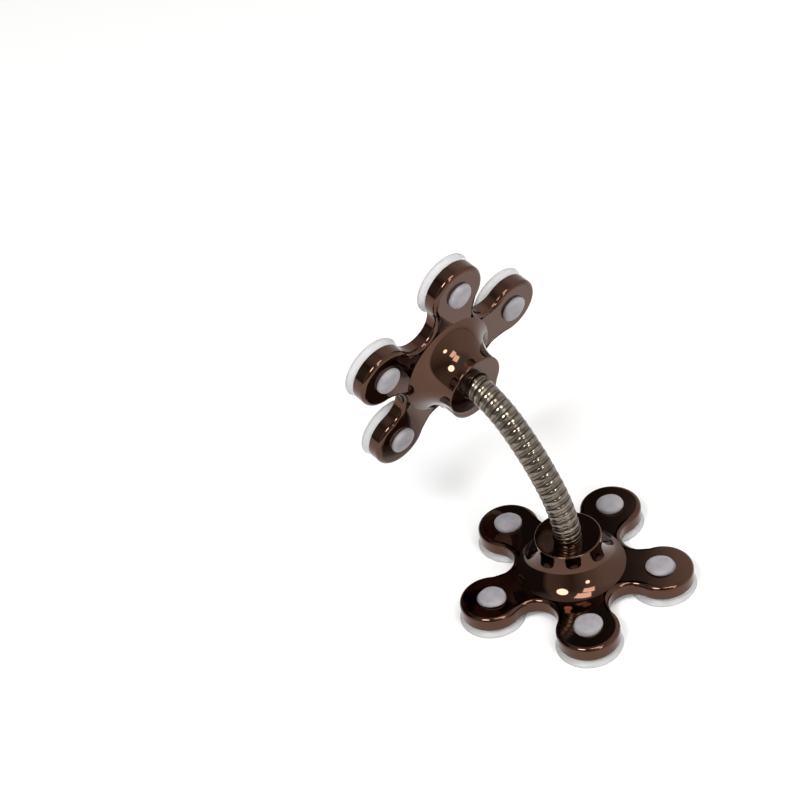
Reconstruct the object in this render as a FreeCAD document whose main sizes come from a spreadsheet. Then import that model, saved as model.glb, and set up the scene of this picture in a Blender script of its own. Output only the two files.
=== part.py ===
import FreeCAD, Part
import math
import os
import re

import Sketcher

# A suction phone holder: two five-lobed plates with rubber cups, joined by a short gooseneck that
# leans towards -Y. Millimetres, +Z up, origin on the table under the lower plate's axis.

V = FreeCAD.Vector
LOBES = 5

# Driving sizes, in millimetres and degrees, with what each one measures
SIZES = {
    "pattern_radius": 21.4,    # cup centres from the plate's axis
    "lobe_radius": 7.45,       # round end of each arm
    "waist_radius": 14.0,      # bottom of the notch between two arms, from the axis
    "plate_height": 3.6,       # side wall of the plate
    "plate_wall": 1.3,         # moulded wall, the same all round
    "edge_round": 1.0,         # upper edge of the plate
    "flare_clear": 0.05,       # flat top left between the hub's flare and the rounded edge
    "collar_radius": 7.9,      # collar above the flare
    "collar_height": 1.4,      # its plain wall
    "hub_height": 9.2,         # flat top of the collar above the plate
    "collar_rim": 0.3,         # rounded rim of the collar
    "socket_depth": 5.5,       # hole in the collar that takes the end of the neck
    "socket_clear": 0.2,       # room round the neck in that hole
    "socket_floor": 1.5,       # web under that hole
    "boss_radius": 5.2,        # boss that carries the web
    "lip_drop": 2.0,           # cup lips below the plate
    "lip_radius": 7.9,         # outside of a cup
    "lip_width": 0.9,          # flat ring that a cup seals on
    "cup_shoulder": 4.0,       # top of a cup, under the plate
    "cup_web": 1.7,            # rubber over the cup's hollow
    "cup_clear": 0.15,         # between a cup and the plate's wall
    "stem_radius": 2.0,        # stem through the plate
    "stem_clear": 0.1,         # room round the stem
    "button_radius": 3.3,      # head of the stem
    "button_height": 1.15,     # head above the plate
    "button_slope": 0.7,       # rounded shoulder of the head
    "neck_length": 43.4,       # gooseneck between the two collars
    "neck_bend": 77.0,         # angle it is bent through at rest
    "middle_bend": 7.3,        # share of that at each of the two middle bending hinges
    "neck_radius": 3.3,        # crest of a turn
    "groove_depth": 0.45,      # groove between two turns
    "end_bore": 2.2,           # inside of the coil at its two ends
    "coil_bore": 1.5,          # inside of the coil between them
    "tongue_radius": 2.2,      # inner wire that reaches into the length below
    "tongue_length": 0.9,      # past the hinge
    "tongue_clear": 0.3,       # room round it
    "tongue_room": 1.7,        # depth of the hollow that takes it
    "bend_room": 1.0,          # further that the steps bent most can still bend
    "sway_limit": 10.4,        # most that one sideways step turns, from straight
    "step_clear": 0.4,         # angle left between two turns at that limit
    "flange_height": 0.8,      # flange of the end plug
    "spigot_length": 4.0,      # part of the plug inside the coil
    "spigot_clear": 0.05,      # room between plug and coil
    "screw_radius": 1.25,      # thread of the fixing screw
    "screw_clear": 0.15,       # room round the screw in the web and washer
    "thread_clear": 0.05,      # room round the screw in the plug
    "screw_length": 6.0,       # under the head
    "screw_head_radius": 2.2,  # pan head
    "screw_head_height": 1.6,  # under the crown
    "recess_length": 2.6,      # cross recess in the head
    "recess_width": 0.7,       # each of its slots
    "recess_depth": 0.9,       # into the head
    "washer_radius": 3.0,      # plain washer under the web
    "washer_height": 0.5,      # between web and screw head
    "lobe_heading": -90.0,     # first lobe of each plate, seen from its collar
    "head_turn": -7.0,         # twist of the upper plate on the neck
}
# Foot and top of the flare that widens the hub from the collar down to the plate
FLARE_FOOT = "(waist_radius - edge_round - flare_clear)"
FLARE_TOP = "(hub_height - collar_height)"
# The neck has two turns of wire to a length, and bends and sways at every other length in turn
BENDS = 6
SWAYS = BENDS - 1
LENGTHS = BENDS + SWAYS
TURNS = 2
# Bend at rest at each hinge outside the middle two, and the most that a bending step turns
OUTER_BEND = f"((neck_bend - 2 * middle_bend) / {BENDS - 2})"
BEND_LIMIT = f"({OUTER_BEND} + bend_room)"

doc = FreeCAD.newDocument("suction_phone_holder")
sheet = doc.addObject("Spreadsheet::Sheet", "sizes")
for row, (alias, size) in enumerate(SIZES.items(), start=1):
    sheet.set(f"A{row}", alias.replace("_", " "))
    sheet.set(f"B{row}", str(size))
    sheet.setAlias(f"B{row}", alias)
doc.recompute()


def named(text):
    """Write an expression of size names as one that names their cells."""
    return re.sub("[a-z_]+", lambda word: ("sizes." if word[0] in SIZES else "") + word[0], text)


def measure(text):
    """The present value of an expression of size names."""
    return float(sheet.evalExpression(named(text)))


def new_body(label):
    body = doc.addObject("PartDesign::Body", label)
    body.Label = label
    return body


def new_sketch(body, plane, height=None):
    """An empty sketch on one of the body's own planes, raised by an expression if one is given."""
    sketch = body.newObject("Sketcher::SketchObject", body.Label + "_sketch")
    support = [item for item in body.Origin.OriginFeatures if item.Role == plane]
    sketch.AttachmentSupport = [(support[0], "")]
    sketch.MapMode = "FlatFace"
    if height:
        sketch.setExpression("AttachmentOffset.Base.z", named(height))
    doc.recompute()
    return sketch


def fix_point(sketch, geometry, point, x_text, y_text):
    """Hold a point of the sketch at two expressions, or on an axis where one of them is 0."""
    for kind, text, axis in (("DistanceX", x_text, -2), ("DistanceY", y_text, -1)):
        if text == "0":
            sketch.addConstraint(Sketcher.Constraint("PointOnObject", geometry, point, axis))
        elif text is not None:
            index = sketch.addConstraint(
                Sketcher.Constraint(kind, -1, 1, geometry, point, measure(text)))
            sketch.setExpression(f"Constraints[{index}]", named(text))


def set_radius(sketch, geometry, text):
    index = sketch.addConstraint(Sketcher.Constraint("Radius", geometry, measure(text)))
    sketch.setExpression(f"Constraints[{index}]", named(text))


def arc_edge(start, end, centre):
    """The counter-clockwise arc from one point to another about a centre."""
    circle = Part.Circle(centre, V(0, 0, 1), (start - centre).Length)
    first = math.atan2(start.y - centre.y, start.x - centre.x)
    last = math.atan2(end.y - centre.y, end.x - centre.x)
    return Part.ArcOfCircle(circle, first, last + (2 * math.pi if last < first else 0))


def turned(body, corners, kind="PartDesign::Revolution"):
    """Turn a closed outline about the body's axis, as a solid or, with Groove, as a cut.

    A corner is a radius and a height; a third entry makes the edge that leaves it an arc with its
    centre at that height.
    """
    sketch = new_sketch(body, "XZ_Plane")
    points = [V(measure(corner[0]), measure(corner[1]), 0) for corner in corners]
    for i, corner in enumerate(corners):
        start = points[i]
        end = points[(i + 1) % len(points)]
        if len(corner) == 2:
            sketch.addGeometry(Part.LineSegment(start, end))
            continue
        level = measure(corner[2])
        rises = (start.y - level) ** 2 - (end.y - level) ** 2
        reach = (start.x ** 2 - end.x ** 2 + rises) / (2 * (start.x - end.x))
        sketch.addGeometry(arc_edge(start, end, V(reach, level, 0)))
    for i, corner in enumerate(corners):
        sketch.addConstraint(Sketcher.Constraint("Coincident", i, 2, (i + 1) % len(corners), 1))
        fix_point(sketch, i, 1, corner[0], corner[1])
        if len(corner) == 3:
            fix_point(sketch, i, 3, None, corner[2])
    feature = body.newObject(kind, body.Label + "_turned")
    feature.Profile = sketch
    feature.ReferenceAxis = (sketch, ["V_Axis"])
    feature.Angle = 360
    sketch.Visibility = False
    doc.recompute()
    return feature


def lobe_sector(body, height, lobe, waist):
    """One arm of the plate, seen from above: a round lobe between two hollow arcs."""
    sketch = new_sketch(body, "XY_Plane", height)
    half = f"180 deg / {LOBES}"
    across = f"({waist}) * cos({half})"
    aside = f"({waist}) * sin({half})"
    reach = measure("pattern_radius")
    round_end = measure(lobe)
    hollow = measure(waist)
    turn = math.pi / LOBES
    notch = (reach ** 2 + hollow ** 2 - 2 * reach * hollow * math.cos(turn) - round_end ** 2) / (
        2 * (round_end - hollow + reach * math.cos(turn)))
    centre = V(reach, 0, 0)
    low = V(math.cos(turn), -math.sin(turn), 0)
    high = V(math.cos(turn), math.sin(turn), 0)
    low_centre = low * (hollow + notch)
    high_centre = high * (hollow + notch)
    low_touch = centre + (low_centre - centre).normalize() * round_end
    high_touch = centre + (high_centre - centre).normalize() * round_end
    sketch.addGeometry(Part.LineSegment(V(0, 0, 0), low * hollow))
    sketch.addGeometry(arc_edge(low_touch, low * hollow, low_centre))
    sketch.addGeometry(arc_edge(low_touch, high_touch, centre))
    sketch.addGeometry(arc_edge(high * hollow, high_touch, high_centre))
    sketch.addGeometry(Part.LineSegment(high * hollow, V(0, 0, 0)))
    for rule in (("Coincident", 0, 1, -1, 1), ("Coincident", 0, 2, 1, 2), ("Tangent", 1, 1, 2, 1),
                 ("Tangent", 2, 2, 3, 2), ("Coincident", 3, 1, 4, 1), ("Coincident", 4, 2, -1, 1),
                 ("PointOnObject", 1, 3, 0), ("PointOnObject", 3, 3, 4)):
        sketch.addConstraint(Sketcher.Constraint(*rule))
    fix_point(sketch, 2, 3, "pattern_radius", "0")
    set_radius(sketch, 2, lobe)
    fix_point(sketch, 0, 2, across, f"-{aside}")
    fix_point(sketch, 4, 1, across, aside)
    doc.recompute()
    return sketch


def circle_sketch(body, height, radius, offset="0"):
    """A circle on the body's axis, or moved along X by an expression."""
    sketch = new_sketch(body, "XY_Plane", height)
    centre = V(measure(offset), 0, 0)
    sketch.addGeometry(Part.Circle(centre, V(0, 0, 1), measure(radius)))
    fix_point(sketch, 0, 3, offset, "0")
    set_radius(sketch, 0, radius)
    doc.recompute()
    return sketch


def extruded(body, kind, sketch, length, reverse):
    """Pad or pocket a sketch; a pocket has to take material away."""
    before = body.Shape.Volume if body.Tip else 0
    feature = body.newObject(kind, body.Label + "_extruded")
    feature.Profile = sketch
    feature.Reversed = reverse
    feature.setExpression("Length", named(length))
    sketch.Visibility = False
    doc.recompute()
    if kind == "PartDesign::Pocket" and body.Shape.Volume >= before:
        raise ValueError(body.Label + ": a pocket cut nothing")
    return feature


def repeated(body, feature, sketch, count, angle=360):
    """Repeat a feature round the body's axis."""
    pattern = body.newObject("PartDesign::PolarPattern", body.Label + "_pattern")
    pattern.Originals = [feature]
    pattern.Axis = (sketch, ["N_Axis"])
    pattern.Angle = angle
    pattern.Occurrences = count
    body.Tip = pattern
    doc.recompute()
    return pattern


def rounded(body, radius, chosen):
    """Round the edges of the body that a test picks out."""
    base = body.Tip
    names = [f"Edge{i}" for i, edge in enumerate(base.Shape.Edges, start=1) if chosen(edge)]
    feature = body.newObject("PartDesign::Fillet", body.Label + "_round")
    feature.Base = (base, names)
    feature.setExpression("Radius", named(radius))
    doc.recompute()
    return feature


def is_ring(edge, radius, height):
    """A full circle about the axis with this radius and height."""
    circle = edge.Curve
    if circle.TypeId != "Part::GeomCircle" or not edge.isClosed():
        return False
    return abs(circle.Radius - radius) < 1e-3 and abs(circle.Center.z - height) < 1e-3


def is_outline(edge):
    """An upper edge of the plate: it lies in the top face and outside the flare."""
    box = edge.BoundBox
    middle = edge.valueAt((edge.FirstParameter + edge.LastParameter) / 2)
    level = abs(box.ZMin) < 1e-3 and abs(box.ZMax) < 1e-3
    return level and math.hypot(middle.x, middle.y) > measure(FLARE_FOOT) + 1e-2


def make_plate(label):
    """Moulded plate with a flared hub: top face at height 0, collar up, hollow underneath."""
    body = new_body(label)
    arm = lobe_sector(body, None, "lobe_radius", "waist_radius")
    pad = extruded(body, "PartDesign::Pad", arm, "plate_height", True)
    repeated(body, pad, arm, LOBES)
    turned(body, [("0", "hub_height"), ("collar_radius", "hub_height"),
                  ("collar_radius", FLARE_TOP, FLARE_TOP), (FLARE_FOOT, "0"),
                  (FLARE_FOOT, "-plate_wall"), ("0", "-plate_wall")])
    rounded(body, "edge_round", is_outline)
    collar = measure("collar_radius")
    rounded(body, "collar_rim", lambda edge: is_ring(edge, collar, measure("hub_height")))
    under = lobe_sector(body, "-plate_height", "lobe_radius - plate_wall",
                        "waist_radius - plate_wall")
    hollow = extruded(body, "PartDesign::Pocket", under, "plate_height - plate_wall", True)
    repeated(body, hollow, under, LOBES)
    core = "collar_radius - plate_wall"
    foot = f"{FLARE_FOOT} - plate_wall"
    ceiling = "hub_height - plate_wall"
    web = "hub_height - socket_depth - socket_floor"
    turned(body, [("0", web), ("boss_radius", web), ("boss_radius", ceiling),
                  (core, ceiling, ceiling), (foot, "-plate_wall"), (foot, "-plate_height"),
                  ("0", "-plate_height")], "PartDesign::Groove")
    socket = circle_sketch(body, "hub_height", "neck_radius + socket_clear")
    extruded(body, "PartDesign::Pocket", socket, "socket_depth", False)
    bolt = circle_sketch(body, "hub_height", "screw_radius + screw_clear")
    extruded(body, "PartDesign::Pocket", bolt, "socket_depth + socket_floor", False)
    stem = circle_sketch(body, None, "stem_radius + stem_clear", "pattern_radius")
    hole = extruded(body, "PartDesign::Pocket", stem, "plate_wall", False)
    repeated(body, hole, stem, LOBES)
    return body


def make_cup(label):
    """Rubber cup under a lobe, with the stem and button that hold it, on its own axis."""
    body = new_body(label)
    lip = "-plate_height - lip_drop"
    turned(body, [("0", "button_height"), ("button_radius - button_slope", "button_height"),
                  ("button_radius", "button_height - button_slope"), ("button_radius", "0"),
                  ("stem_radius", "0"), ("stem_radius", "-plate_wall"),
                  ("cup_shoulder", "-plate_wall"),
                  ("lobe_radius - plate_wall - cup_clear", "-plate_height"),
                  ("lip_radius", lip), ("lip_radius - lip_width", lip),
                  ("0", "-plate_wall - cup_web")])
    return body


def make_washer(label):
    """Plain washer on the underside of the collar's web."""
    body = new_body(label)
    top = "hub_height - socket_depth - socket_floor"
    bore = "screw_radius + screw_clear"
    turned(body, [(bore, top), (bore, top + " - washer_height"),
                  ("washer_radius", top + " - washer_height"), ("washer_radius", top)])
    return body


def make_screw(label):
    """Pan-head screw that holds the end of the neck in its socket."""
    body = new_body(label)
    seat = "hub_height - socket_depth - socket_floor - washer_height"
    tip = seat + " + screw_length"
    crown = seat + " - screw_head_height"
    turned(body, [("0", crown), ("screw_head_radius", crown), ("screw_head_radius", seat),
                  ("screw_radius", seat), ("screw_radius", tip), ("0", tip)])
    slot = new_sketch(body, "XY_Plane", crown)
    reach = "recess_length / 2"
    side = "recess_width / 2"
    ends = [("-" + reach, "-" + side), (reach, "-" + side), (reach, side),
            ("-" + reach, side)]
    corners = [V(measure(x), measure(y), 0) for x, y in ends]
    for i, corner in enumerate(corners):
        slot.addGeometry(Part.LineSegment(corner, corners[(i + 1) % len(corners)]))
    for i, (x_text, y_text) in enumerate(ends):
        slot.addConstraint(Sketcher.Constraint("Coincident", i, 2, (i + 1) % len(ends), 1))
        fix_point(slot, i, 1, x_text, y_text)
    doc.recompute()
    recess = extruded(body, "PartDesign::Pocket", slot, "recess_depth", True)
    repeated(body, recess, slot, 2, 90)
    return body


def make_plug(label):
    """Threaded end plug: its flange stands in the socket and its spigot in the coil."""
    body = new_body(label)
    seat = "hub_height - socket_depth"
    shelf = seat + " + flange_height"
    tip = shelf + " + spigot_length"
    thread = "screw_radius + thread_clear"
    spigot = "end_bore - spigot_clear"
    turned(body, [(thread, seat), ("neck_radius", seat), ("neck_radius", shelf), (spigot, shelf),
                  (spigot, tip), (thread, tip)])
    return body


STEP = f"neck_length / {LENGTHS}"
TURN = f"neck_length / {LENGTHS * TURNS}"
VALLEY = "(neck_radius - groove_depth)"


def slope(limit):
    """Tangent of the slope on the end of a length that turns by this limit."""
    return f"tan(({limit} + step_clear) * 0.5 deg)"


def make_length(label, lower, upper):
    """One length of the coil, from its lower hinge up: ridged outside, sloped at both ends.

    Its inner wire reaches through the lower hinge, and its upper end is hollow for the next one's.
    """
    body = new_body(label)
    hollow = "(tongue_radius + tongue_clear)"
    outline = [("coil_bore", "-tongue_length"), ("tongue_radius", "-tongue_length"),
               ("tongue_radius", f"tongue_radius * {slope(lower)}"),
               (VALLEY, f"{VALLEY} * {slope(lower)}")]
    for turn in range(TURNS):
        outline.append(("neck_radius", f"{TURN} * {turn + 0.5}"))
        outline.append((VALLEY, f"{TURN} * {turn + 1}"))
    outline[-1] = (VALLEY, f"{STEP} - {VALLEY} * {slope(upper)}")
    outline += [(hollow, f"{STEP} - {hollow} * {slope(upper)}"), (hollow, f"{STEP} - tongue_room"),
                ("coil_bore", f"{STEP} - tongue_room")]
    turned(body, outline)
    return body


def make_end(label):
    """The coil's end: it stands on the plug's flange and ends at a bending hinge.

    The lower one is hollow for the first length's inner wire, and the upper one has such a wire.
    """
    body = new_body(label)
    foot = "hub_height - socket_depth + flange_height"
    hinge = f"hub_height + {TURN}"
    top = slope(BEND_LIMIT)
    outline = [("end_bore", foot), (VALLEY, foot)]
    turns = int(measure(f"{hinge} - ({foot})") / measure(TURN))
    for turn in range(turns - 1, -1, -1):
        outline.append((VALLEY, f"{hinge} - {TURN} * {turn + 1}"))
        outline.append(("neck_radius", f"{hinge} - {TURN} * {turn + 0.5}"))
    outline.append((VALLEY, f"{hinge} - {VALLEY} * {top}"))
    if label.startswith("base"):
        hollow = "(tongue_radius + tongue_clear)"
        outline += [(hollow, f"{hinge} - {hollow} * {top}"), (hollow, f"{hinge} - tongue_room"),
                    ("end_bore", f"{hinge} - tongue_room")]
    else:
        web = "hub_height - socket_depth + flange_height + spigot_length + spigot_clear"
        outline += [("tongue_radius", f"{hinge} - tongue_radius * {top}"),
                    ("tongue_radius", f"{hinge} + tongue_length"),
                    ("coil_bore", f"{hinge} + tongue_length"), ("coil_bore", web), ("end_bore", web)]
    turned(body, outline)
    return body


def chain():
    """Place of each length of the neck, then of the upper end, bent at every other hinge.

    The neck is straighter in the middle than near its ends.
    """
    step = measure(STEP)
    collar_top = V(0, 0, measure("lip_drop + plate_height + hub_height"))
    place = FreeCAD.Placement(collar_top, FreeCAD.Rotation())
    travel = FreeCAD.Placement(V(0, 0, step), FreeCAD.Rotation())
    bends = [measure(OUTER_BEND)] * BENDS
    bends[BENDS // 2 - 1:BENDS // 2 + 1] = [measure("middle_bend")] * 2
    place = place.multiply(FreeCAD.Placement(V(0, 0, step / 2), FreeCAD.Rotation()))
    places = []
    for hinge in range(LENGTHS):
        if hinge % 2 == 0:
            bend = FreeCAD.Rotation(V(1, 0, 0), bends[hinge // 2])
            place = place.multiply(FreeCAD.Placement(V(), bend))
        places.append(place)
        place = place.multiply(travel)
    return places


def end_places():
    """Frames of the lower and the upper plate: top face at height 0, collar towards the neck."""
    base = FreeCAD.Placement(V(0, 0, measure("lip_drop + plate_height")), FreeCAD.Rotation())
    reach = measure(STEP) / 2 + measure("hub_height")
    over = FreeCAD.Placement(V(0, 0, reach), FreeCAD.Rotation(V(1, 0, 0), 180))
    return {"base": base, "head": chain()[-1].multiply(over)}


def spin(angle):
    return FreeCAD.Placement(V(), FreeCAD.Rotation(V(0, 0, 1), angle))


parts = []
twists = {"base": measure("lobe_heading"), "head": measure("lobe_heading + head_turn")}
for end, frame in end_places().items():
    facing = frame.multiply(spin(twists[end]))
    for make, piece in ((make_plate, "plate"), (make_washer, "washer"), (make_screw, "screw"),
                        (make_plug, "plug"), (make_end, "coil")):
        part = make(f"{end}_{piece}")
        part.Placement = facing
        parts.append(part)
    for lobe in range(LOBES):
        part = make_cup(f"{end}_cup_{lobe + 1}")
        arm = spin(lobe * 360 / LOBES)
        outward = FreeCAD.Placement(V(measure("pattern_radius"), 0, 0), FreeCAD.Rotation())
        part.Placement = facing.multiply(arm).multiply(outward)
        parts.append(part)

for index, place in enumerate(chain()[:-1]):
    limits = (BEND_LIMIT, "sway_limit") if index % 2 == 0 else ("sway_limit", BEND_LIMIT)
    part = make_length(f"neck_coil_{index + 1:02d}", *limits)
    part.Placement = place
    parts.append(part)
doc.recompute()

for item in doc.Objects:
    if "Invalid" in item.State or "Error" in item.State:
        raise ValueError(f"{item.Label} failed: {item.State}")
for part in parts:
    if part.Shape.isNull() or not part.Shape.isValid() or len(part.Shape.Solids) != 1:
        raise ValueError(f"{part.Label} is not one valid solid")

os.makedirs("parts", exist_ok=True)
for part in parts:
    part.Shape.exportStep(f"parts/{part.Label}.step")
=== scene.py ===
import math

import bmesh
import bpy
import numpy as np
from mathutils import Matrix, Vector


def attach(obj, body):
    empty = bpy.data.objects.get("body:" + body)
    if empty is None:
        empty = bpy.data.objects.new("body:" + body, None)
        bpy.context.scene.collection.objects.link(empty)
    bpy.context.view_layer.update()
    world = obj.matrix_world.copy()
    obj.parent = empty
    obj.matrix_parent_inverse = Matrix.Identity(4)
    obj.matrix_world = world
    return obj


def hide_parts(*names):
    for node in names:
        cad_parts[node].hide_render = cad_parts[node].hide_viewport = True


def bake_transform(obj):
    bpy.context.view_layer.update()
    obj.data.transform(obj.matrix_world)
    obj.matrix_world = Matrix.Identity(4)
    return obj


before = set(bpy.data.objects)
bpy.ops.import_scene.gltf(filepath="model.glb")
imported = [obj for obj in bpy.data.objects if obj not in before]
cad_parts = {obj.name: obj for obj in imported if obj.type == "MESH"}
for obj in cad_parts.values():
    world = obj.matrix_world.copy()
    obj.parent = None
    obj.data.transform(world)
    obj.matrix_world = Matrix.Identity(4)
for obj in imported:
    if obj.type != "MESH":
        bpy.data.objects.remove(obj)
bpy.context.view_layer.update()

# A suction phone holder: dark-bronze star plates with milky silicone cups at both ends of a short
# steel gooseneck. Sizes in millimetres, as in the CAD; a mesh gets them in metres.
MM = 0.001
TAU = 2 * math.pi

LOBES = 5
PATTERN_RADIUS = 21.4      # cup centres from the plate's axis
LOBE_RADIUS = 7.45         # round end of an arm
WAIST_RADIUS = 14.0        # bottom of the notch between two arms
PLATE_HEIGHT = 3.6         # side wall
PLATE_WALL = 1.3           # moulded wall
EDGE_ROUND = 1.0           # upper edge
RIM_ROUND = 0.25           # lower edge
FLARE_FOOT = 12.95         # radius where the hub's flare meets the plate
FLARE_TOP = 7.8            # height where it runs into the collar's wall
COLLAR_RADIUS = 7.9
COLLAR_RIM = 0.3
HUB_HEIGHT = 9.2           # collar's top above the plate
SOCKET_RADIUS = 3.5        # hole that takes the neck
SOCKET_FLOOR = 3.7         # its floor
BOSS_RADIUS = 5.2          # boss under the socket
BOSS_FOOT = 2.2            # its underside
BOLT_RADIUS = 1.4          # screw hole
LIP_DROP = 2.0             # cup lips below the plate
LIP_RADIUS = 7.9
LIP_WIDTH = 0.9
CUP_SHOULDER = 4.0
CUP_WEB = 1.7
CUP_CLEAR = 0.15
STEM_RADIUS = 2.0
BUTTON_RADIUS = 3.3
BUTTON_HEIGHT = 1.45       # at its puffy middle
# How far a button leans off its stem, outwards and sideways, by plate and arm
LEANS = {("base", 1): (-0.2, 0.5), ("base", 2): (-0.2, 0.3), ("base", 3): (-0.4, -0.25)}
NECK_LENGTH = 43.4
OUTER_BEND = math.radians(15.6)   # at each bending hinge near the neck's ends
MIDDLE_BEND = math.radians(7.3)   # at each of the two in the middle
NECK_RADIUS = 3.3
NECK_BORE = 1.5
LENGTHS = 11               # hinges along the neck, bending and swaying in turn
PITCH = 2.0                # one turn of the coil
ROUND_SHARE = 0.58         # of a turn, for the round wire; the wedge wire has the rest
CROWN_FALL = 0.09          # from the round wire's crown to its shoulders
WEDGE_SINK = 0.12          # wedge wire's face below the crown
WEDGE_RISE = 0.055         # from the middle of that face to its upper side
ROUND_SEAM = 0.26          # each wire's drop into the seam
WEDGE_SEAM = 0.2
SEAM_SHADE_DEPTH = 0.24         # below the crown, where the wire's painted shade and roughness are full
BLEND_INSET = 0.3          # from a span's ends; the centreline there is worked out, but nothing uses it
COIL_FOOT = 4.7            # end of the coil inside its socket
HEADING = math.radians(-90.0)
HEAD_TURN = math.radians(-7.0)


def turn_x(angle):
    return np.array(Matrix.Rotation(angle, 3, "X"))


def turn_z(angle):
    return np.array(Matrix.Rotation(angle, 3, "Z"))


def neck_chain():
    """Middle of each hinged length and the neck's end: a straight walk that turns at every other hinge.

    Returns the points between hinges, starting at the lower collar, and the last direction's frame.
    """
    step = NECK_LENGTH / LENGTHS
    turns = np.zeros(LENGTHS)
    turns[::2] = OUTER_BEND
    turns[LENGTHS // 2 - 1:LENGTHS // 2 + 2:2] = MIDDLE_BEND
    angles = np.concatenate([[0.0], np.cumsum(turns)])
    headings = np.stack([np.zeros_like(angles), -np.sin(angles), np.cos(angles)], axis=1)
    halves = (headings[:-1] + headings[1:]) * step / 2
    start = np.array([[0.0, 0.0, LIP_DROP + PLATE_HEIGHT + HUB_HEIGHT]])
    return np.concatenate([start, start + np.cumsum(halves, axis=0)]), turn_x(angles[-1])


NECK_POINTS, NECK_END = neck_chain()
HEAD_AXIS = NECK_END @ np.array([0.0, 0.0, 1.0])
# Each plate's own frame: origin in its top face, +Z along its collar, +X along its first arm
ENDS = {
    "base": (turn_z(HEADING), np.array([0.0, 0.0, LIP_DROP + PLATE_HEIGHT])),
    "head": (NECK_END @ turn_x(math.pi) @ turn_z(HEADING + HEAD_TURN),
             NECK_POINTS[-1] + HUB_HEIGHT * HEAD_AXIS),
}


# Meshes

def grid_faces(rows, columns, wrap_rows):
    """Quads between neighbours on a grid whose columns run round; its rows may run round too."""
    row = np.arange(rows if wrap_rows else rows - 1)[:, None]
    column = np.arange(columns)[None, :]
    after = (row + 1) % rows
    beside = (column + 1) % columns
    corners = [row * columns + column, row * columns + beside,
               after * columns + beside, after * columns + column]
    return np.stack(np.broadcast_arrays(*corners), axis=-1).reshape(-1, 4)


def add_piece(name, points, faces, material):
    """A smooth-shaded mesh object at the origin from points in millimetres."""
    mesh = bpy.data.meshes.new(name)
    mesh.from_pydata((points.reshape(-1, 3) * MM).tolist(), [], faces.tolist())
    mesh.polygons.foreach_set("use_smooth", np.ones(len(mesh.polygons), bool))
    mesh.materials.append(material)
    mesh.update()
    piece = bpy.data.objects.new(name, mesh)
    bpy.context.scene.collection.objects.link(piece)
    return piece


def arc(centre, radius, first, last, steps):
    """Points of a section along a circle's arc, from one angle in degrees to another."""
    angle = np.radians(np.linspace(first, last, steps))
    return np.stack([centre[0] + radius * np.cos(angle), centre[1] + radius * np.sin(angle)], axis=1)


def run(start, end, inset=0.05):
    """A straight stretch of a section: two points just inside its ends, which keep it flat."""
    start = np.array(start, float)
    end = np.array(end, float)
    reach = (end - start) / np.linalg.norm(end - start) * inset
    return np.stack([start + reach, end - reach])


# Star plate

def flare(top, foot, steps):
    """A hollow arc of the hub's section, upright at its top and ending at its foot.

    Its centre is level with the top and as far from it as from the foot; the last two points are
    close together, which keeps the edge at the foot crisp.
    """
    drop = top[1] - foot[1]
    radius = ((foot[0] - top[0]) ** 2 + drop ** 2) / (2 * (foot[0] - top[0]))
    last = 180 + math.degrees(math.asin(drop / radius))
    angle = np.radians(np.append(np.linspace(180, last - 0.4, steps), last))
    return np.stack([top[0] + radius * (1 + np.cos(angle)), top[1] + radius * np.sin(angle)], axis=1)


def star_outline():
    """The plate's edge seen from above and its outward normal: five lobes with hollow arcs between.

    In one fifth, a hollow arc runs from the waist to where it touches the lobe's circle, the lobe's
    arc follows, and the second hollow mirrors the first; the fifth is turned round the axis.
    """
    half = math.pi / LOBES
    notch = (PATTERN_RADIUS ** 2 + WAIST_RADIUS ** 2 - LOBE_RADIUS ** 2
             - 2 * PATTERN_RADIUS * WAIST_RADIUS * math.cos(half)) / (
        2 * (LOBE_RADIUS - WAIST_RADIUS + PATTERN_RADIUS * math.cos(half)))
    centre = (WAIST_RADIUS + notch) * np.array([math.cos(half), math.sin(half)])
    touch = math.atan2(centre[1], centre[0] - PATTERN_RADIUS)
    steps = (18, 72, 18)
    hollow = np.linspace(math.pi - half, math.pi - touch, steps[0], endpoint=False)
    lobe = np.linspace(-touch, touch, steps[1], endpoint=False)
    mirrored = np.linspace(touch - math.pi, half - math.pi, steps[2], endpoint=False)
    ray = np.exp(1j * np.concatenate([hollow, lobe, mirrored]))
    outward = np.repeat([-1.0, 1.0, -1.0], steps)
    radius = np.repeat([notch, LOBE_RADIUS, notch], steps)
    middle = np.repeat([centre[0] - 1j * centre[1], PATTERN_RADIUS, centre[0] + 1j * centre[1]], steps)
    fifths = np.exp(1j * TAU * np.arange(LOBES) / LOBES)[:, None]
    edge = (fifths * (middle + radius * ray)).ravel()
    normal = (fifths * outward * ray).ravel()
    return np.stack([edge.real, edge.imag], 1), np.stack([normal.real, normal.imag], 1)


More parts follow.
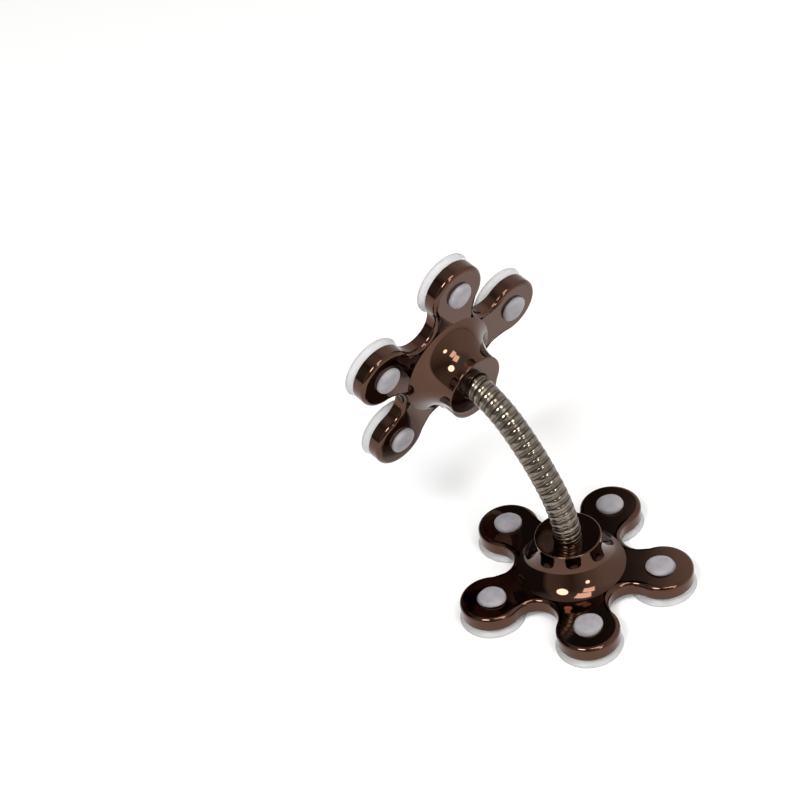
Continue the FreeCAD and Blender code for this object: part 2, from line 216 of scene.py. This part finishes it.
def plate_section():
    """The plate's wall cut through one arm, as rows from the underside of the hub, out, and back on top.

    Returns the distance in from the star's edge, or the radius about the axis on the hub's rows,
    then the height, and which rows are on the hub.
    """
    core = COLLAR_RADIUS - PLATE_WALL
    ceiling = HUB_HEIGHT - PLATE_WALL
    small = 0.12
    under = np.concatenate([
        arc((BOLT_RADIUS + small, BOSS_FOOT + small), small, 180, 270, 5),
        run((BOLT_RADIUS + small, BOSS_FOOT), (BOSS_RADIUS - small, BOSS_FOOT)),
        arc((BOSS_RADIUS - small, BOSS_FOOT + small), small, -90, 0, 5),
        run((BOSS_RADIUS, BOSS_FOOT + small), (BOSS_RADIUS, ceiling - small)),
        arc((BOSS_RADIUS + small, ceiling - small), small, 180, 90, 5),
        run((BOSS_RADIUS + small, ceiling), (core - small, ceiling)),
        arc((core - small, ceiling - small), small, 90, 0, 5),
        flare((core, ceiling - 2 * small), (FLARE_FOOT - PLATE_WALL, -PLATE_WALL), 30),
        np.array([[FLARE_FOOT - PLATE_WALL + 0.05, -PLATE_WALL]])])
    edge = np.concatenate([
        arc((-PLATE_WALL - small, -PLATE_WALL - small), small, 90, 0, 5),
        run((-PLATE_WALL, -PLATE_WALL - small), (-PLATE_WALL, RIM_ROUND - PLATE_HEIGHT)),
        arc((RIM_ROUND - PLATE_WALL, RIM_ROUND - PLATE_HEIGHT), RIM_ROUND, 180, 270, 6),
        run((RIM_ROUND - PLATE_WALL, -PLATE_HEIGHT), (-RIM_ROUND, -PLATE_HEIGHT)),
        arc((-RIM_ROUND, RIM_ROUND - PLATE_HEIGHT), RIM_ROUND, -90, 0, 7),
        run((0, RIM_ROUND - PLATE_HEIGHT), (0, -EDGE_ROUND)),
        arc((-EDGE_ROUND, -EDGE_ROUND), EDGE_ROUND, 0, 90, 17),
        np.array([[-EDGE_ROUND - 0.03, 0.0]])])
    top = np.concatenate([
        np.array([[FLARE_FOOT + 0.01, 0.0]]),
        flare((COLLAR_RADIUS, FLARE_TOP), (FLARE_FOOT, 0.0), 44)[::-1],
        run((COLLAR_RADIUS, FLARE_TOP), (COLLAR_RADIUS, HUB_HEIGHT - COLLAR_RIM)),
        arc((COLLAR_RADIUS - COLLAR_RIM, HUB_HEIGHT - COLLAR_RIM), COLLAR_RIM, 0, 90, 8),
        run((COLLAR_RADIUS - COLLAR_RIM, HUB_HEIGHT), (SOCKET_RADIUS + small, HUB_HEIGHT)),
        arc((SOCKET_RADIUS + small, HUB_HEIGHT - small), small, 90, 180, 5),
        run((SOCKET_RADIUS, HUB_HEIGHT - small), (SOCKET_RADIUS, SOCKET_FLOOR + small)),
        arc((SOCKET_RADIUS - small, SOCKET_FLOOR + small), small, 0, -90, 5),
        run((SOCKET_RADIUS - small, SOCKET_FLOOR), (BOLT_RADIUS + small, SOCKET_FLOOR)),
        arc((BOLT_RADIUS + small, SOCKET_FLOOR - small), small, 90, 180, 5)])
    section = np.concatenate([under, edge, top])
    hub = np.ones(len(section), bool)
    hub[len(under):len(under) + len(edge)] = False
    return section[:, 0], section[:, 1], hub


def star_plate(end, material):
    """The moulded plate with its flared hub: its section carried round the star's edge.

    A row is either the edge moved in along its normal or a circle, spread evenly round the edge's
    length, so that the rows run from the hub to the star and back without crossing.
    """
    edge, normal = star_outline()
    reach, height, hub = plate_section()
    length = np.linalg.norm(np.roll(edge, -1, axis=0) - edge, axis=1)
    way = np.concatenate([[0.0], np.cumsum(length)[:-1]]) / length.sum() * TAU - math.pi / LOBES
    circle = np.stack([np.cos(way), np.sin(way)], axis=1)
    plan = np.where(hub[:, None, None], reach[:, None, None] * circle[None],
                    edge[None] + reach[:, None, None] * normal[None])
    level = np.broadcast_to(height[:, None, None], plan.shape[:2] + (1,))
    points = np.concatenate([plan, level], axis=2)
    rotation, origin = ENDS[end]
    faces = grid_faces(len(reach), len(edge), True)
    piece = add_piece(f"{end}_star_plate", points @ rotation.T + origin, faces, material)
    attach(piece, end)
    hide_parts(f"{end}_plate")
    return piece


# Silicone cups

def cup_section():
    """A cup's outline from the middle of its button, down its stem and skirt, and up its hollow.

    The button's top falls with the square of the distance from its middle and its cheek is part of an
    ellipse. The skirt widens with a power of the way down, first inside the arm and then below it, and
    the hollow rises with a quarter of a sine.
    """
    lip = -PLATE_HEIGHT - LIP_DROP
    rim = LOBE_RADIUS - PLATE_WALL - CUP_CLEAR
    bevel = 0.1
    lip_round = 0.12
    cheek_foot = 0.36
    way = np.linspace(0.0, 1.0, 14)
    dome = np.stack([BUTTON_RADIUS * 0.66 * way, BUTTON_HEIGHT - 0.15 * way ** 2], axis=1)
    turn = np.radians(np.linspace(78, 0, 10))
    cheek = np.stack([BUTTON_RADIUS * (0.6 + 0.4 * np.cos(turn)), cheek_foot + 0.94 * np.sin(turn)], axis=1)
    stem = np.array([[BUTTON_RADIUS, 0.02], [BUTTON_RADIUS - 0.05, 0.0], [STEM_RADIUS + 0.02, 0.0],
                     [STEM_RADIUS, -0.02], [STEM_RADIUS, 0.02 - PLATE_WALL],
                     [STEM_RADIUS + 0.02, -PLATE_WALL], [CUP_SHOULDER - 0.15, -PLATE_WALL],
                     [CUP_SHOULDER, -PLATE_WALL - bevel]])
    way = np.linspace(0.0, 1.0, 10)[1:]
    upper = np.stack([CUP_SHOULDER + (rim - CUP_SHOULDER) * way ** 0.8,
                      -PLATE_WALL - bevel + (PLATE_WALL + bevel - PLATE_HEIGHT) * way], axis=1)
    way = np.linspace(0.0, 1.0, 12)[1:]
    lower = np.stack([rim + (LIP_RADIUS - rim) * way ** 1.15,
                      -PLATE_HEIGHT + (lip + lip_round + PLATE_HEIGHT) * way], axis=1)
    seal = arc((LIP_RADIUS - lip_round, lip + lip_round), lip_round, 0, -90, 5)
    flat = np.array([[LIP_RADIUS - LIP_WIDTH, lip]])
    way = np.linspace(0.0, 1.0, 16)[1:]
    hollow = np.stack([(LIP_RADIUS - LIP_WIDTH) * (1 - way),
                       lip + (-PLATE_WALL - CUP_WEB - lip) * np.sin(way * math.pi / 2)], axis=1)
    return np.concatenate([dome, cheek, stem, upper, lower, seal, flat, hollow])


def silicone_cup(end, lobe, materials, rng):
    """One cup: its section turned about its own axis, with the button's outline a little uneven.

    The button's radius swells and sinks by three slow waves round the axis and its top tilts, as soft
    moulded rubber does when it is pulled through its hole; both fade out at the plate's top. The thin
    skirt below the stem has the second material.
    """
    section = cup_section()
    around = np.arange(72) / 72 * TAU
    lag = rng.uniform(0, TAU, 3)
    swell = (0.022 * np.cos(2 * around + lag[0]) + 0.016 * np.cos(3 * around + lag[1])
             + 0.008 * np.cos(5 * around + lag[2]))
    button = np.clip(section[:, 1] / 0.3, 0.0, 1.0)
    radius = section[:, :1] * (1 + button[:, None] * swell[None])
    tilt = 0.012 * np.cos(around + lag[0])
    height = section[:, 1:] + button[:, None] * radius * tilt[None]
    out, side = LEANS.get((end, lobe), (0.0, 0.0))
    points = np.stack([PATTERN_RADIUS + button[:, None] * out + radius * np.cos(around),
                       button[:, None] * side + radius * np.sin(around), height], axis=2)
    points = points @ turn_z(TAU * lobe / LOBES).T
    rotation, origin = ENDS[end]
    faces = grid_faces(len(section), len(around), False)[:, ::-1]
    name = f"{end}_cup_{lobe + 1}"
    piece = add_piece(f"{end}_silicone_cup_{lobe + 1}", points @ rotation.T + origin, faces,
                      materials[0])
    piece.data.materials.append(materials[1])
    skirt = np.repeat(section[:-1, 1] < -PLATE_WALL / 2, len(around))
    piece.data.polygons.foreach_set("material_index", skirt.astype(np.int32))
    weld_poles(piece)
    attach(piece, end)
    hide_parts(name)
    return piece


def weld_poles(piece):
    """Merge the points that a turned section has where it meets its axis."""
    work = bmesh.new()
    work.from_mesh(piece.data)
    bmesh.ops.remove_doubles(work, verts=work.verts, dist=1e-7)
    work.to_mesh(piece.data)
    work.free()


# Gooseneck

def neck_line(places):
    """Points and directions of the neck's centreline at lengths along it, from the lower collar.

    A smooth curve through the middles of the hinged lengths, straight on inside the two collars:
    a cubic between each two middles, with the slope there set by the neighbours on both sides.
    """
    step = NECK_LENGTH / LENGTHS
    slopes = np.empty_like(NECK_POINTS)
    slopes[1:-1] = (NECK_POINTS[2:] - NECK_POINTS[:-2]) / 2
    slopes[0] = step * np.array([0.0, 0.0, 1.0])
    slopes[-1] = step * HEAD_AXIS
    inside = np.clip(places / step, 0.0, LENGTHS)
    span = np.minimum(inside.astype(int), LENGTHS - 1)
    u = (inside - span)[:, None]
    start, end = NECK_POINTS[span], NECK_POINTS[span + 1]
    leave, arrive = slopes[span], slopes[span + 1]
    point = ((2 * u ** 3 - 3 * u ** 2 + 1) * start + (u ** 3 - 2 * u ** 2 + u) * leave
             + (3 * u ** 2 - 2 * u ** 3) * end + (u ** 3 - u ** 2) * arrive)
    way = ((6 * u ** 2 - 6 * u) * (start - end) + (3 * u ** 2 - 4 * u + 1) * leave
           + (3 * u ** 2 - 2 * u) * arrive)
    way /= np.linalg.norm(way, axis=1, keepdims=True)
    beyond = (places - np.clip(places, 0.0, NECK_LENGTH))[:, None]
    return point + beyond * way, way


def coil_relief(phase):
    """Height of the coil's surface over one turn: a low round crown, then the wedge wire beside it.

    The crown falls off with the square of the distance from its middle and the wedge's face slopes
    evenly, a little below it; near their edges a high power drops both into the seam where they meet.
    """
    phase = phase % 1.0
    crown = 2 * phase / ROUND_SHARE - 1
    wedge = 2 * (phase - ROUND_SHARE) / (1 - ROUND_SHARE) - 1
    round_wire = NECK_RADIUS - CROWN_FALL * crown ** 2 - ROUND_SEAM * crown ** 18
    wedge_wire = NECK_RADIUS - WEDGE_SINK + WEDGE_RISE * wedge - WEDGE_SEAM * wedge ** 12
    return np.where(phase < ROUND_SHARE, round_wire, wedge_wire)


def neck_piece(index, material):
    """One span of the coil across a hinge: the relief wound round the centreline.

    The relief's phase grows by one for each turn's length along the neck and falls by one for each
    time round it, which winds it into a helix. The wall closes on a plain bore. The attribute depth
    says how far a point lies below the crown, for the painted shade and the roughness between the turns.
    """
    step = NECK_LENGTH / LENGTHS
    first, last = index * step, (index + 1) * step
    begin = first - (COIL_FOOT if index == 0 else 0.0)
    finish = last + (COIL_FOOT if index == LENGTHS - 1 else 0.0)
    columns = 56
    rows = int(round((finish - begin) / PITCH * columns)) + 1
    places = np.linspace(begin, finish, rows)
    around = np.arange(columns) / columns * TAU
    centre, way = neck_line(places)
    side = np.array([1.0, 0.0, 0.0])
    front = np.cross(way, side)
    radius = coil_relief(places[:, None] / PITCH - around[None] / TAU)
    ray = np.cos(around)[None, :, None] * side + np.sin(around)[None, :, None] * front[:, None]
    outer = centre[:, None] + radius[:, :, None] * ray
    inner = centre[[-1, 0], None] + NECK_BORE * ray[[-1, 0]]
    points = np.concatenate([outer, inner])
    faces = grid_faces(rows + 2, columns, True)
    piece = add_piece(f"gooseneck_span_{index + 1:02d}", points, faces, material)
    # The depth drives the painted shade between the turns in the wire's material.
    depth = np.concatenate([np.clip((NECK_RADIUS - radius) / SEAM_SHADE_DEPTH, 0.0, 1.0), np.ones((2, columns))])
    piece.data.attributes.new("depth", "FLOAT", "POINT").data.foreach_set("value", depth.ravel())
    ends, _ = neck_line(np.array([last - BLEND_INSET, first + BLEND_INSET]))
    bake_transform(piece)
    return piece


# Materials

def linear(hex_colour):
    """An sRGB hex colour as linear red, green, blue and an alpha of one."""
    parts = np.array([int(hex_colour[i:i + 2], 16) for i in (1, 3, 5)]) / 255
    value = np.where(parts <= 0.04045, parts / 12.92, ((parts + 0.055) / 1.055) ** 2.4)
    return (*value.tolist(), 1.0)


def node(tree, kind, settings=None, **links):
    """Add a node: settings by attribute or socket name, and links from an input's name to an output.

    A setting called stops fills a colour ramp from pairs of a place and a hex colour.
    """
    item = tree.nodes.new(kind)
    for key, value in (settings or {}).items():
        if key == "stops":
            ramp = item.color_ramp.elements
            while len(ramp) < len(value):
                ramp.new(0.5)
            for stop, (place, colour) in zip(ramp, value):
                stop.position = place
                stop.color = linear(colour)
        elif key in item.inputs:
            item.inputs[key].default_value = value
        else:
            setattr(item, key, value)
    for key, output in links.items():
        tree.links.new(output, item.inputs[key.replace("_", " ")])
    return item


def new_material(name, **settings):
    """A material with one Principled shader, its constant settings on the shader's own sockets."""
    material = bpy.data.materials.new(name)
    material.use_nodes = True
    shader = material.node_tree.nodes["Principled BSDF"]
    for key, value in settings.items():
        shader.inputs[key.replace("_", " ")].default_value = value
    return material, material.node_tree, shader


def bronze_plating():
    """Dark-bronze chrome plating on moulded ABS: a tinted mirror, its skin a little wavy from the mould."""
    material, tree, shader = new_material("dark_bronze_plated_abs", Metallic=1.0,
                                          Base_Color=linear("#553e34"))
    place = node(tree, "ShaderNodeTexCoord")
    haze = node(tree, "ShaderNodeTexNoise", {"Scale": 1 / (9 * MM), "Detail": 3.0},
                Vector=place.outputs["Object"])
    rough = node(tree, "ShaderNodeMapRange", {"From Min": 0.35, "From Max": 0.7, "To Min": 0.03,
                                              "To Max": 0.075}, Value=haze.outputs["Fac"])
    tree.links.new(rough.outputs["Result"], shader.inputs["Roughness"])
    sink = node(tree, "ShaderNodeTexNoise", {"Scale": 1 / (7 * MM), "Detail": 1.0},
                Vector=place.outputs["Object"])
    wave = node(tree, "ShaderNodeBump", {"Strength": 0.12, "Distance": 0.05 * MM},
                Height=sink.outputs["Fac"])
    tree.links.new(wave.outputs["Normal"], shader.inputs["Normal"])
    return material


def milky_silicone():
    """Moulded silicone rubber: milky, soft-edged light inside it and a faintly dusty, dull skin."""
    material, tree, shader = new_material("milky_silicone_rubber", IOR=1.41, Subsurface_Weight=0.35,
                                          Subsurface_Scale=2.0 * MM, Sheen_Weight=0.05)
    place = node(tree, "ShaderNodeTexCoord")
    cloud = node(tree, "ShaderNodeTexNoise", {"Scale": 1 / (2.2 * MM), "Detail": 4.0},
                 Vector=place.outputs["Object"])
    tone = node(tree, "ShaderNodeValToRGB", {"stops": [(0.3, "#8c8a90"), (0.75, "#a19fa5")]},
                Fac=cloud.outputs["Fac"])
    tree.links.new(tone.outputs["Color"], shader.inputs["Base Color"])
    rough = node(tree, "ShaderNodeMapRange", {"To Min": 0.38, "To Max": 0.55}, Value=cloud.outputs["Fac"])
    tree.links.new(rough.outputs["Result"], shader.inputs["Roughness"])
    grain = node(tree, "ShaderNodeTexNoise", {"Scale": 1 / (0.35 * MM), "Detail": 2.0},
                 Vector=place.outputs["Object"])
    bump = node(tree, "ShaderNodeBump", {"Strength": 0.15, "Distance": 0.03 * MM},
                Height=grain.outputs["Fac"])
    tree.links.new(bump.outputs["Normal"], shader.inputs["Normal"])
    return material


def thin_silicone():
    """The same rubber in the thin skirt: frosted and half clear, so what lies behind it shows through."""
    material, tree, shader = new_material("thin_clear_silicone_skirt", IOR=1.41, Transmission_Weight=0.6,
                                          Base_Color=linear("#eeeef0"))
    place = node(tree, "ShaderNodeTexCoord")
    frost = node(tree, "ShaderNodeTexNoise", {"Scale": 1 / (0.8 * MM), "Detail": 3.0},
                 Vector=place.outputs["Object"])
    rough = node(tree, "ShaderNodeMapRange", {"To Min": 0.25, "To Max": 0.45}, Value=frost.outputs["Fac"])
    tree.links.new(rough.outputs["Result"], shader.inputs["Roughness"])
    return material


def nickel_wire():
    """Nickel-plated spring wire, wound: warm grey with random stains; painted shade darkens the wedge wire
    and the seams between turns, which are also rougher than the crests.
    """
    material, tree, shader = new_material("nickel_plated_spring_wire", Metallic=1.0)
    place = node(tree, "ShaderNodeTexCoord")
    stain = node(tree, "ShaderNodeTexNoise", {"Scale": 1 / (1.6 * MM), "Detail": 4.0},
                 Vector=place.outputs["Object"])
    tone = node(tree, "ShaderNodeValToRGB", {"stops": [(0.3, "#685f55"), (0.7, "#8a8075")]},
                Fac=stain.outputs["Fac"])
    # Painted shade: below the crown the depth darkens the wire's colour, to about 0.7 on the wedge wire and
    # to near black in the seams.
    depth = node(tree, "ShaderNodeAttribute", {"attribute_name": "depth"})
    painted_shade_stops = [(0.25, "#ffffff"), (0.42, "#dcdcdc"), (0.6, "#d4d4d4"), (0.78, "#3c3c3c")]
    painted_seam_shade = node(tree, "ShaderNodeValToRGB", {"stops": painted_shade_stops}, Fac=depth.outputs["Fac"])
    metal = node(tree, "ShaderNodeMix", {"data_type": "RGBA", "blend_type": "MULTIPLY"})
    metal.inputs[0].default_value = 1.0
    tree.links.new(tone.outputs["Color"], metal.inputs[6])
    tree.links.new(painted_seam_shade.outputs["Color"], metal.inputs[7])
    tree.links.new(metal.outputs[2], shader.inputs["Base Color"])
    rough = node(tree, "ShaderNodeMapRange", {"From Min": 0.25, "From Max": 0.45, "To Min": 0.13,
                                              "To Max": 0.34}, Value=depth.outputs["Fac"])
    tree.links.new(rough.outputs["Result"], shader.inputs["Roughness"])
    return material


def turned_brass():
    """Turned brass of the end plugs: yellow metal, dull from the lathe and finely mottled."""
    material, tree, shader = new_material("turned_brass", Metallic=1.0, Roughness=0.3)
    place = node(tree, "ShaderNodeTexCoord")
    mottle = node(tree, "ShaderNodeTexNoise", {"Scale": 1 / (0.5 * MM), "Detail": 3.0},
                  Vector=place.outputs["Object"])
    tone = node(tree, "ShaderNodeValToRGB", {"stops": [(0.0, "#a98643"), (1.0, "#d8bd78")]},
                Fac=mottle.outputs["Fac"])
    tree.links.new(tone.outputs["Color"], shader.inputs["Base Color"])
    return material


def zinc_plated_steel():
    """Zinc-plated steel of the screws and washers: cool grey with a blotchy passivated bloom."""
    material, tree, shader = new_material("zinc_plated_steel", Metallic=1.0)
    place = node(tree, "ShaderNodeTexCoord")
    bloom = node(tree, "ShaderNodeTexNoise", {"Scale": 1 / (1.2 * MM), "Detail": 4.0},
                 Vector=place.outputs["Object"])
    tone = node(tree, "ShaderNodeValToRGB", {"stops": [(0.0, "#9c9da2"), (1.0, "#c6c7c9")]},
                Fac=bloom.outputs["Fac"])
    tree.links.new(tone.outputs["Color"], shader.inputs["Base Color"])
    rough = node(tree, "ShaderNodeMapRange", {"To Min": 0.22, "To Max": 0.42}, Value=bloom.outputs["Fac"])
    tree.links.new(rough.outputs["Result"], shader.inputs["Roughness"])
    return material


def paper_floor():
    """White studio paper, brighter to the eye and in reflections than it is lit, and clear from below."""
    material, tree, shader = new_material("white_studio_paper", Roughness=0.9,
                                          Base_Color=linear("#f1f2f4"), Emission_Color=linear("#ffffff"))
    path = node(tree, "ShaderNodeLightPath")
    seen = node(tree, "ShaderNodeMath", {"operation": "MAXIMUM"})
    tree.links.new(path.outputs["Is Camera Ray"], seen.inputs[0])
    tree.links.new(path.outputs["Is Glossy Ray"], seen.inputs[1])
    through = node(tree, "ShaderNodeMath", {"operation": "MAXIMUM"})
    tree.links.new(seen.outputs["Value"], through.inputs[0])
    tree.links.new(path.outputs["Is Transmission Ray"], through.inputs[1])
    glow = node(tree, "ShaderNodeMath", {"operation": "MULTIPLY"})
    tree.links.new(through.outputs["Value"], glow.inputs[0])
    glow.inputs[1].default_value = 0.15
    tree.links.new(glow.outputs["Value"], shader.inputs["Emission Strength"])
    below = node(tree, "ShaderNodeNewGeometry")
    open_side = node(tree, "ShaderNodeMixShader")
    tree.links.new(below.outputs["Backfacing"], open_side.inputs[0])
    tree.links.new(shader.outputs["BSDF"], open_side.inputs[1])
    tree.links.new(node(tree, "ShaderNodeBsdfTransparent").outputs["BSDF"], open_side.inputs[2])
    tree.links.new(open_side.outputs["Shader"], tree.nodes["Material Output"].inputs["Surface"])
    return material


# Pieces

plating = bronze_plating()
rubber = (milky_silicone(), thin_silicone())
wire = nickel_wire()
brass = turned_brass()
zinc = zinc_plated_steel()

rng = np.random.default_rng(5)
for end in ENDS:
    star_plate(end, plating)
    for lobe in range(LOBES):
        silicone_cup(end, lobe, rubber, rng)
    for piece, finish in (("plug", brass), ("screw", zinc), ("washer", zinc)):
        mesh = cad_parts[f"{end}_{piece}"].data
        mesh.materials.clear()
        mesh.materials.append(finish)
spans = [neck_piece(index, wire) for index in range(LENGTHS)]
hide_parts("base_coil")
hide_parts("head_coil")
for index, span in enumerate(spans[:-1]):
    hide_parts(f"neck_coil_{index + 1:02d}")


# Stage, light and camera

def studio_floor():
    """A flat square of paper under the cups."""
    corner = 3000.0
    drop = -0.03
    points = np.array([[-corner, -corner, drop], [corner, -corner, drop],
                       [corner, corner, drop], [-corner, corner, drop]])
    mesh = bpy.data.meshes.new("studio_floor")
    mesh.from_pydata((points * MM).tolist(), [], [(0, 1, 2, 3)])
    mesh.materials.append(paper_floor())
    floor = bpy.data.objects.new("studio_floor", mesh)
    bpy.context.scene.collection.objects.link(floor)


def soft_lamp(name, azimuth, elevation, shape, size, power, colour):
    """A soft lamp one metre from the object, facing it, at two angles in degrees from +X and the floor."""
    data = bpy.data.lights.new(name, "AREA")
    data.shape = shape
    data.size, data.size_y = size
    data.energy = power
    data.color = linear(colour)[:3]
    level = math.cos(math.radians(elevation))
    away = Vector((level * math.cos(math.radians(azimuth)), level * math.sin(math.radians(azimuth)),
                   math.sin(math.radians(elevation))))
    lamp = bpy.data.objects.new(name, data)
    lamp.location = Vector((0.0, -0.012, 0.025)) + away
    lamp.rotation_euler = away.to_track_quat("Z", "Y").to_euler()
    bpy.context.scene.collection.objects.link(lamp)


def photo_camera():
    """The camera that the photograph's measured points were fitted to: place, direction and lens."""
    data = bpy.data.cameras.new("photo_camera")
    data.sensor_width = 36.0
    data.lens = 92.469
    data.clip_start = 0.01
    camera = bpy.data.objects.new("photo_camera", data)
    place = Vector((230.2718, 266.4080, 345.7038)) * MM
    forward = Vector((-0.452618, -0.634444, -0.626592))
    up = Vector((-0.508270, -0.393803, 0.765886))
    right = forward.cross(up)
    turn = Matrix((right, up, -forward)).transposed()
    camera.matrix_world = Matrix.Translation(place) @ turn.to_4x4()
    bpy.context.scene.collection.objects.link(camera)
    bpy.context.scene.camera = camera


def studio_world():
    """A room round the paper: pale walls on the camera's right, a dark gap at the far side, and dim
    corners behind the camera. The tone goes by the direction round the vertical and evens out overhead."""
    walls = [(0.0, "#ffffff"), (0.1255, "#ffffff"), (0.1295, "#444444"), (0.41, "#4c4c4c"),
             (0.45, "#c0bcae"), (0.53, "#b4b0a6"), (0.62, "#86827a"), (0.74, "#d8d3c8"), (0.86, "#ffffff")]
    world = bpy.data.worlds.new("studio")
    world.use_nodes = True
    tree = world.node_tree
    shade = tree.nodes["Background"]
    place = node(tree, "ShaderNodeTexCoord")
    round_about = node(tree, "ShaderNodeTexGradient", {"gradient_type": "RADIAL"},
                       Vector=place.outputs["Generated"])
    wall = node(tree, "ShaderNodeValToRGB", {"stops": walls}, Fac=round_about.outputs["Fac"])
    height = node(tree, "ShaderNodeSeparateXYZ", {}, Vector=place.outputs["Generated"])
    above = node(tree, "ShaderNodeMapRange", {"From Min": 0.76, "From Max": 0.95}, Value=height.outputs["Z"])
    tone = node(tree, "ShaderNodeMix", {"data_type": "RGBA"})
    tree.links.new(above.outputs["Result"], tone.inputs[0])
    tree.links.new(wall.outputs["Color"], tone.inputs[6])
    tone.inputs[7].default_value = linear("#c8c8c8")
    tree.links.new(tone.outputs[2], shade.inputs["Color"])
    shade.inputs["Strength"].default_value = 0.94
    bpy.context.scene.world = world


studio_floor()
soft_lamp("key_lamp", 16, 51.5, "DISK", (0.33, 0.33), 5.3, "#ffffff")
soft_lamp("side_lamp", 84, 31, "DISK", (0.16, 0.16), 1.15, "#ffffff")
soft_lamp("lower_pane", 88, 54.5, "RECTANGLE", (0.32, 0.2), 1.5, "#fffaf2")
soft_lamp("upper_pane", 77, 69, "RECTANGLE", (0.34, 0.25), 2.0, "#fffaf2")
photo_camera()
studio_world()
bpy.context.scene.view_settings.view_transform = "Standard"
